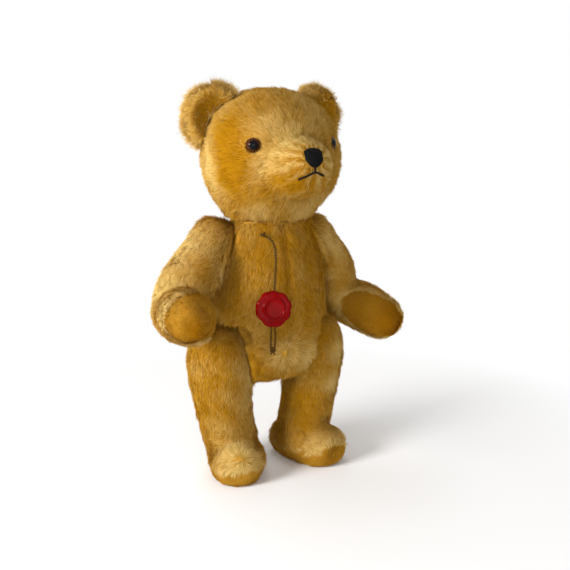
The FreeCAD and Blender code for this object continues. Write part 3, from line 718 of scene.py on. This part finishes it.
def bare_at_joints(rows, names):
    """Nothing grows on the middle of a joint's flat, where two parts press together."""
    return (at_joints(rows, names, bare_reach) < 0.5).astype(float)


def front_seam(rows, normals):
    """The seam down the front and back pulls the cloth in to a fine groove."""
    off = np.abs(rows[:, 0] - body_axis[0])
    return rows - normals * (seam_deep * np.exp(-(off / seam_wide) ** 2))[:, None]


torso_skin = plush_cloth("torso_cloth", ["torso_cover"], "torso_stuffing", "torso", shape=front_seam)


def whorled(lie, rows, middle, reach):
    """The lie of the pile, turned to run outward from the middle of a whorl."""
    off = rows - np.array(middle) * MM
    near = np.exp(-(np.linalg.norm(off, axis=1) / (reach * MM)) ** 2)[:, None]
    return lie * (1 - near) + whorl_pull * near * unit(off)


def patches(rows, tone, places):
    """A pile's tone, changed in soft round patches: middle, reach and how much paler.

    The patches paint light, shade and the nap's sheen into the pile, along with its own tone.
    """
    shade = np.full(len(rows), tone)
    for *middle, reach, paler in places:
        off = np.linalg.norm(rows - np.array(middle) * MM, axis=1)
        shade += paler * np.exp(-(off / (reach * MM)) ** 2)
    return shade


def torso_comb(rows):
    """Down the body and a little away from the seam, except round the swirl on the belly."""
    aside = np.sign(rows[:, 0] - body_axis[0])
    lie = np.stack([0.3 * aside, np.zeros(len(rows)), -np.ones(len(rows))], axis=1)
    return whorled(lie, rows, belly_swirl, 26)


# Paler and darker patches of the body's pile: partly painted light and sheen (on the lit side, round the belly's
# swirl, where the nap is seen against its lie), partly the pile's own tone.
torso_light_and_tone_patches = ((*belly_swirl, 13, 0.55), (14, -16, 108, 15, 0.6), (-48, 4, 120, 12, 0.3),
                 (-30, -18, 146, 14, 0.1), (-4, 60, 160, 60, 0.22), (-10, -8, 232, 9, 0.25))


pile_long, pile_cut, flat_reach = 7.2, 4.4, 26 * MM
pile_lift, lift_pressed, lift_in_crease = 0.42, 0.25, 0.45
torso_hairs, torso_seed = 100000, 21
plant_pile("torso_pile", torso_skin, torso_hairs, torso_comb,
           lambda rows: (pile_long - pile_cut * at_joints(rows, limb_joints, flat_reach)) * MM,
           lambda rows: (pile_lift - lift_pressed * at_joints(rows, limb_joints, flat_reach)
                         + lift_in_crease * in_creases(rows, limb_joints[1:])),
           lambda rows: patches(rows, 0.05, torso_light_and_tone_patches),
           lambda rows, cells: bare_at_joints(rows, limb_joints),
           "torso", body_mohair, torso_seed)

# ---- Head ----
# Skull and muzzle are one stuffed cover of mohair plush that turns on a disc in the neck. Its pile
# starts at the nose and lies back over the whole head. It is shorter round the eyes and on the
# muzzle's end. Round the nose, stripes of painted light and shade in the pile stand for the pleats
# that the cloth is drawn into there.
nose_low, nose_high = (np.array(corner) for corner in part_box("nose"))
nose_at = (nose_low + nose_high) / 2
eye_places = {side: sum(np.array(corner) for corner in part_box(f"{side}_eye")) / 2
              for side in ("right", "left")}
pile_start = nose_at + np.array([0, 6, -2]) * MM
chin_low, chin_high = 245 * MM, 265 * MM
eye_short = {"right": 0.4, "left": 0.75}
eye_bare = 5.6 * MM
nose_bare_wide, nose_bare_tall, nose_bare_deep = 7.2 * MM, 6.2 * MM, 12 * MM
# How many stripes of painted light and shade stand for pleats round the nose, and how far they reach.
pleat_shade_stripes, pleat_shade_reach = 13, 21 * MM
head_hairs, head_seed = 120000, 31


def nose_bed(rows, normals):
    """Under the nose and mouth the cloth stands out as far as the stitches that go through it."""
    away = np.linalg.norm((rows - nose_at) * [1, 1, 0.7], axis=1)
    return rows + normals * (0.5 * backing_depth * (1 - blended(9 * MM, 14 * MM, away)))[:, None]


head_skin = plush_cloth("head_cloth", ["head_cover"], "head_stuffing", "head", rounds=8, shape=nose_bed)


def head_comb(rows):
    """Back from the nose, and down under the chin."""
    lie = unit(rows - pile_start)
    above = blended(chin_low, chin_high, rows[:, 2])[:, None]
    return lie + (1 - above) * np.array([0, 0, -0.6])


def head_reach(rows):
    """Length of the pile: short on the muzzle's end and round the eyes."""
    long = 5.0 + 3.2 * blended(12 * MM, 45 * MM, np.linalg.norm(rows - nose_at, axis=1))
    for side, place in eye_places.items():
        short = eye_short[side]
        long *= short + (1 - short) * blended(6 * MM, 16 * MM, np.linalg.norm(rows - place, axis=1))
    return long * (1 - 0.5 * at_joints(rows, ("neck_turn",), 40 * MM)) * MM


# Paler and darker patches of the head's pile: partly painted light and shade (paler on the lit edge of the face on
# the bear's right and on the muzzle's top, darker low on the muzzle beside the mouth), partly the pile's own tone.
head_light_and_tone_patches = ((-55, -16, 285, 17, -0.4), (-50, -20, 262, 15, -0.35), (-56, -6, 306, 13, -0.3),
                (-72, 2, 282, 14, 0.6), (-16, -42, 302, 14, 0.5), (-38, -40, 286, 11, 0.5),
                (-28, -47, 271, 8, -0.35), (-15, -54, 270, 8, -0.4), (10, -50, 290, 15, 0.45),
                (12, -10, 318, 22, 0.2), (-35, -16, 248, 12, 0.3), (10, -20, 250, 16, 0.25),
                (60, 10, 280, 30, 0.15), (-26, -30, 316, 9, 0.2), (-66, 0, 262, 12, 0.45),
                (-68, 8, 302, 12, 0.45), (-4, 60, 300, 50, 0.1))


def head_shade(rows):
    """The patches, and stripes of painted light and shade that stand for pleats all round the nose."""
    off = rows - nose_at
    around = np.arctan2(off[:, 2], off[:, 0])
    pleat_shade_fade = np.exp(-(np.linalg.norm(off, axis=1) / pleat_shade_reach) ** 2)
    return patches(rows, 0.22, head_light_and_tone_patches) + 0.5 * pleat_shade_fade * np.sin(pleat_shade_stripes * around)


def head_keep(rows, cells):
    """No hair grows under the eyes and the nose, or on the flat of the neck."""
    keep = bare_at_joints(rows, ("neck_turn",))
    for place in eye_places.values():
        keep *= np.linalg.norm(rows - place, axis=1) > eye_bare
    off = np.abs(rows - nose_at)
    return keep * ((off[:, 0] > nose_bare_wide) | (off[:, 2] > nose_bare_tall)
                   | (rows[:, 1] > nose_at[1] + nose_bare_deep))


plant_pile("head_pile", head_skin, head_hairs, head_comb, head_reach,
           lambda rows: np.full(len(rows), 0.5), head_shade, head_keep,
           "head", body_mohair, head_seed)

# ---- Ears ----
# Two half round ears, cupped forward and sewn across the top seam of the head: painted shade
# darkens the pile in the cup, and a long pale fringe grows where the front and back pieces
# meet at the rim.
ear_depth, ear_weave, ear_rounds = 1.4 * MM, 1.2 * MM, 5
ear_lean, ear_aside, ear_up = math.radians(12.0), 48 * MM, 319 * MM
ear_hairs, ear_seed = 17000, 41
for side, sense in (("right", -1), ("left", 1)):
    ear_form = nodes[f"{side}_ear"].data.copy()
    ear_mesh = make_cloth(f"{side}_ear_cloth", ear_form, ear_depth, ear_weave, ear_rounds)
    ear = link(f"{side}_ear_cloth", ear_mesh, amber_cloth)
    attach(ear, "head")
    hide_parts(f"{side}_ear")
    ear_splay = ear_lean * sense
    ear_forward = np.array([math.sin(ear_splay), -math.cos(ear_splay), 0.0])
    ear_middle = np.array([body_axis[0] + sense * ear_aside, body_axis[1], ear_up])

    def ear_comb(rows):
        """The way out from the ear's middle, in the ear's own plane."""
        off = rows - ear_middle
        return unit(off - np.outer(off @ ear_forward, ear_forward))

    def ear_out(rows):
        """How far out from the ear's middle points lie, in the ear's own plane."""
        off = rows - ear_middle
        return np.linalg.norm(off - np.outer(off @ ear_forward, ear_forward), axis=1)

    def ear_shade(rows):
        """Darker pile in the cup, on the front: painted shade in the hollow."""
        # The cup's darker pile is painted shade.
        cup = ((rows - ear_middle) @ ear_forward > 0) * (1 - blended(14 * MM, 25 * MM, ear_out(rows)))
        return 0.5 - 0.5 * cup

    plant_pile(f"{side}_ear_pile", Skin(ear), ear_hairs, ear_comb,
               lambda rows: (4.6 + 6.0 * blended(16 * MM, 25 * MM, ear_out(rows))) * MM,
               lambda rows: np.full(len(rows), 0.42), ear_shade,
               lambda rows, cells: np.ones(len(rows)), "head", body_mohair, ear_seed + sense,
               wide=0.5 * MM, stray=0.3, gather=0.85, clump=3.4 * MM)

# ---- Eyes ----
# Brown glass balls with a painted black pupil. Each sits in the plush on a steel stalk that is
# pressed into the stuffing, and the left one sits deeper.
eye_round, eye_flat = 5.8 * MM, 0.86
eye_sunk = {"right": 1.2 * MM, "left": 3.6 * MM}
eye_rings = ((0.0, (0.002, 0.002, 0.002)), (0.58, (0.002, 0.002, 0.002)), (0.66, (0.035, 0.009, 0.002)),
             (0.86, (0.06, 0.016, 0.003)), (0.97, (0.012, 0.003, 0.001)))
eye_glass, tree, surface = shader("brown_eye_glass", 0.08, Specular_IOR_Level=0.1)
place = tree.nodes.new("ShaderNodeTexCoord")
parts = tree.nodes.new("ShaderNodeSeparateXYZ")
tree.links.new(place.outputs["Object"], parts.inputs["Vector"])
flat = tree.nodes.new("ShaderNodeCombineXYZ")
for axis in "XY":
    tree.links.new(parts.outputs[axis], flat.inputs[axis])
out = tree.nodes.new("ShaderNodeVectorMath")
out.operation = "LENGTH"
tree.links.new(flat.outputs["Vector"], out.inputs[0])
spread = tree.nodes.new("ShaderNodeMapRange")
spread.inputs["From Max"].default_value = 6.0 * MM
tree.links.new(out.outputs["Value"], spread.inputs["Value"])
tree.links.new(ramp(tree, spread.outputs["Result"], eye_rings), surface.inputs["Base Color"])
for side in ("right", "left"):
    globe = bmesh.new()
    bmesh.ops.create_uvsphere(globe, u_segments=48, v_segments=32, radius=eye_round)
    for vertex in globe.verts:
        vertex.co.z *= eye_flat
    mesh = bpy.data.meshes.new(f"{side}_eye_glass")
    globe.to_mesh(mesh)
    globe.free()
    mesh.polygons.foreach_set("use_smooth", [True] * len(mesh.polygons))
    look = Vector(eye_places[side] - np.array([body_axis[0], body_axis[1] + 4 * MM, eye_places[side][2]]))
    eye = link(f"{side}_eye_glass", mesh, eye_glass)
    eye.location = Vector(eye_places[side]) - look.normalized() * eye_sunk[side]
    eye.rotation_mode = "QUATERNION"
    eye.rotation_quaternion = (look.normalized() + Vector((0, -0.7, 0.05))).to_track_quat("Z", "Y")
    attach(eye, "head")
    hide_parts(f"{side}_eye")

# ---- Nose and mouth ----
# Both are embroidered in black yarn: close upright stitches fill the nose's shield, and three
# single stitches draw the mouth below it.
black_yarn = yarn_material("black_embroidery_yarn", (0.001, 0.001, 0.001), (0.008, 0.008, 0.009), 0.7,
                           Specular_IOR_Level=0.1)
muzzle_tree = node_tree("head_cover")


def on_muzzle(side, up, proud):
    """The point of the muzzle's front at a place seen from ahead, raised by a little."""
    start = Vector((side, nose_at[1] - 0.05, up))
    hit, normal, _, _ = muzzle_tree.ray_cast(start, Vector((0, 1, 0)))
    return tuple(hit + normal * proud)


nose_wide, nose_tall, nose_stitches = 14.8 * MM, 14.4 * MM, 17
nose_yarn, nose_pitch = 1.35 * MM, 4.6 * MM
mouth_yarn, mouth_pitch = 1.9 * MM, 4.0 * MM
mouth_drop, mouth_slope = 4, 0.4
embroidery_sides = 6
nose_lines = []
for stitch_number in range(nose_stitches):
    share = 2 * stitch_number / (nose_stitches - 1) - 1
    top = nose_at[2] + nose_tall * (0.5 - 0.14 * abs(share) ** 2.5)
    bottom = nose_at[2] - nose_tall * (0.5 - 0.34 * abs(share) ** 2.2)
    across = nose_at[0] + share * nose_wide / 2
    heights = np.linspace(top, bottom, 9)
    nose_lines.append([on_muzzle(across, up, (0.5 + 1.1 * math.sin(math.pi * (count + 0.5) / 9)
                                                    * math.sqrt(max(0.0, 1 - share * share))) * MM)
                       for count, up in enumerate(heights)])
nose = link("nose_embroidery",
            yarn_mesh("nose_embroidery", nose_lines, nose_yarn, nose_pitch, embroidery_sides), black_yarn)
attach(nose, "head")
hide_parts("nose")
mouth_top = nose_at[2] - nose_tall / 2 + 0.4 * MM
mouth_lines = [[on_muzzle(nose_at[0], mouth_top - drop * MM, 1.0 * MM)
                for drop in np.linspace(0, mouth_drop, 6)]]
for sense, reach in ((-1, 13), (1, 8)):
    mouth_lines.append([on_muzzle(nose_at[0] + sense * out * MM,
                                  mouth_top - (mouth_drop + mouth_slope * out) * MM, 1.2 * MM)
                        for out in np.linspace(0, reach, 9)])
mouth = link("mouth_embroidery",
             yarn_mesh("mouth_embroidery", mouth_lines, mouth_yarn, mouth_pitch, embroidery_sides),
             black_yarn)
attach(mouth, "head")
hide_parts("mouth_stitches")

# ---- Arms and paw pads ----
# Each arm is one bent sack that turns on a disc at the shoulder. A long oval pad of trimmed
# plush is let into the inner side of the paw, and the pile's long tips hang over its seam. On
# the right paw the trimmed plush goes on over the front.
pad_mohair = pile_material("pad_mohair",
                           ((0.17, 0.06, 0.0005), (0.38, 0.15, 0.001), (0.48, 0.22, 0.004)),
                           ((0.36, 0.17, 0.002), (0.58, 0.31, 0.02), (0.74, 0.46, 0.09)))
arm_lines = {"right": ((-43.5, 24, 206), (-98, -3, 162), (-115, -72, 168)),
             "left": ((34.5, 24, 203), (83, 44, 150), (124, -7, 121))}
limb_cut, bend_reach, limb_whorl = 4.0, 18 * MM, 24
limb_lift, let_in = 0.45, 0.5 * MM
arm_hairs, pad_hairs = 62000, 16000
arm_seeds, pad_seeds = {"right": 56, "left": 55}, {"right": 66, "left": 65}
arm_whorls = {"right": (-99, -62, 176), "left": (122, -8, 124)}
# Paler and darker patches of the arms' pile: partly painted light (on the lit outer side and edges of the right
# arm and paw, and at the left arm's edges), partly the pile's own tone.
arm_light_and_tone_patches = {"right": ((-84, 24, 214, 24, 0.75), (-120, 4, 182, 26, 0.8), (-130, -44, 176, 16, 0.6),
                         (-97, -24, 188, 12, -0.3), (-62, -4, 190, 9, 0.4), (-99, -62, 168, 18, 0.7),
                         (-120, -62, 154, 14, 0.6)),
               "left": ((62, 6, 208, 14, 0.5), (92, 2, 170, 13, 0.6), (70, 8, 165, 12, -0.15),
                        (122, -6, 128, 16, 0.5), (60, 60, 190, 50, 0.3))}
# Pad patches: painted shade darkens the right pad's low side and the far left pad, and painted light makes the
# right pad paler at its top and middle.
pad_light_and_tone_patches = {"right": ((-112, -70, 164, 10, -0.4), (-118, -60, 186, 14, 0.45), (-99, -62, 176, 6, 0.5)),
               "left": ((108, -8, 126, 30, -0.3),)}
paw_front, paw_front_reach = np.array([-116.0, -66.0, 171.0]) * MM, 21 * MM


def round_seam(node, reach):
    """1 beside a let-in piece, fading away from it: where the long tips hang over its seam."""
    tree = node_tree(node)

    def near(rows):
        off = [tree.find_nearest(Vector(row), reach)[3] for row in rows]
        return np.array([0.0 if far is None else 1 - far / reach for far in off])
    return near


def limb_comb(line, whorl):
    """Pile that lies along a limb from its joint to its end, with a whorl on the way."""
    joint, bend, end = (np.array(point) * MM for point in line)
    first, second = unit(bend - joint), unit(end - bend)

    def comb(rows):
        past = blended(-bend_reach, bend_reach, (rows - bend) @ unit(first + second))[:, None]
        return whorled(first * (1 - past) + second * past, rows, whorl, limb_whorl)
    return comb


def limb_pile(limb, skin, count, comb, hinge, reach, shade, keep, seed):
    """The long pile of an arm or leg, pressed flat by its joint and upright in the crease there."""
    plant_pile(f"{limb}_pile", skin, count, comb,
               lambda rows: (pile_long - limb_cut * at_joints(rows, hinge, reach)) * MM,
               lambda rows: (limb_lift - lift_pressed * at_joints(rows, hinge, reach)
                             + lift_in_crease * in_creases(rows, hinge)),
               shade, lambda rows, cells: keep(rows, cells) * bare_at_joints(rows, hinge),
               limb, body_mohair, seed)


def fringe_keep(mask, wanted):
    """Where pile of one kind grows, from a mask over the cloth's corners."""
    def keep(rows, cells):
        inside = mask[cells].mean(axis=1) > 0.5
        return (inside if wanted else ~inside).astype(float)
    return keep


for side in ("right", "left"):
    skin = plush_cloth(f"{side}_arm_cloth", [f"{side}_arm_cover", f"{side}_paw_pad"],
                       f"{side}_arm_stuffing", f"{side}_arm")
    pad_mask = skin.near(f"{side}_paw_pad", backing_depth + let_in)
    if side == "right":
        pad_mask[np.linalg.norm(skin.rows - paw_front, axis=1) < paw_front_reach] = 1.0
    comb = limb_comb(arm_lines[side], arm_whorls[side])
    seam = round_seam(f"{side}_paw_pad", 10 * MM)
    limb_pile(f"{side}_arm", skin, arm_hairs, comb, (f"{side}_shoulder_turn",), flat_reach,
              lambda rows: patches(rows, 0.14, arm_light_and_tone_patches[side]) + 0.6 * seam(rows),
              fringe_keep(pad_mask, False), arm_seeds[side])
    plant_pile(f"{side}_pad_pile", skin, pad_hairs, comb,
               lambda rows: np.full(len(rows), 3.6 * MM), lambda rows: np.full(len(rows), 0.55),
               lambda rows: patches(rows, 0.5, pad_light_and_tone_patches[side]), fringe_keep(pad_mask, True),
               f"{side}_arm", pad_mohair, pad_seeds[side], wide=0.36 * MM, gather=0.2)

# ---- Legs and soles ----
# Each leg is a straight sack with the foot sewn on in front, and turns on a disc at the hip.
# The sole is trimmed plush, let in under a seam that rises to the toes.
leg_lines = {"right": ((-34.5, 24, 117), (-44, 24, 30), (-58, -22, 14)),
             "left": ((25.5, 24, 117), (35, 24, 30), (49, -22, 14))}
hip_reach = 30 * MM
leg_hairs, sole_hairs = 64000, 26000
leg_seeds, sole_seeds = {"right": 76, "left": 75}, {"right": 86, "left": 85}
toe_whorls = {"right": (-52, -20, 28), "left": (42, -24, 12)}
# Paler patches of the legs' pile: partly the nap's painted sheen (on the inner sides, the toes and the edges),
# partly the pile's own tone.
leg_light_and_tone_patches = {"right": ((-26, -4, 106, 16, 0.8), (-26, -4, 78, 15, 0.8), (-52, -20, 28, 22, 0.6),
                         (-66, 4, 60, 10, 0.2), (-26, 8, 50, 12, 0.3)),
               "left": ((42, -24, 14, 24, 0.5), (52, -4, 80, 10, 0.8), (56, 0, 108, 13, 0.6),
                        (60, 10, 20, 18, 0.3))}
for side in ("right", "left"):
    skin = plush_cloth(f"{side}_leg_cloth", [f"{side}_leg_cover", f"{side}_foot_sole"],
                       f"{side}_leg_stuffing", f"{side}_leg")
    sole_mask = skin.near(f"{side}_foot_sole", backing_depth + let_in)
    comb = limb_comb(leg_lines[side], toe_whorls[side])
    seam = round_seam(f"{side}_foot_sole", 8 * MM)
    limb_pile(f"{side}_leg", skin, leg_hairs, comb, (f"{side}_hip_turn",), hip_reach,
              lambda rows: patches(rows, 0.1, leg_light_and_tone_patches[side]) + 0.4 * seam(rows),
              fringe_keep(sole_mask, False), leg_seeds[side])
    plant_pile(f"{side}_sole_pile", skin, sole_hairs, comb,
               lambda rows: np.full(len(rows), 3.8 * MM), lambda rows: np.full(len(rows), 0.5),
               lambda rows: np.full(len(rows), 0.7), fringe_keep(sole_mask, True),
               f"{side}_leg", pad_mohair, sole_seeds[side], gather=0.2)

# ---- Joint discs, washers and pins ----
# Hidden in the stuffing: pressed hardboard discs and steel washers on split pins, and the
# steel stalks of the eyes.
board, tree, surface = shader("pressed_hardboard", 0.75, Specular_IOR_Level=0.25)
board_browns = ((0.3, (0.16, 0.09, 0.045)), (0.7, (0.27, 0.17, 0.09)))
tree.links.new(ramp(tree, object_noise(tree, 260.0, 6.0), board_browns), surface.inputs["Base Color"])
bump(tree, surface, object_noise(tree, 1800.0, 2.0), 0.4, 0.2 * MM)
steel, tree, surface = shader("drawn_steel", 0.34, Metallic=1.0)
steel_greys = ((0.3, (0.42, 0.42, 0.44)), (0.7, (0.58, 0.58, 0.6)))
tree.links.new(ramp(tree, object_noise(tree, 700.0), steel_greys), surface.inputs["Base Color"])
bump(tree, surface, object_noise(tree, 2400.0, 1.0), 0.15, 0.1 * MM)
for name, node in nodes.items():
    finish = {"disc": board, "washer": steel, "pin": steel, "stalk": steel}.get(name.rsplit("_", 1)[-1])
    if finish:
        node.data.materials.clear()
        node.data.materials.append(finish)

# ---- Finish ----
scene = bpy.context.scene
scene.view_settings.view_transform = "Standard"
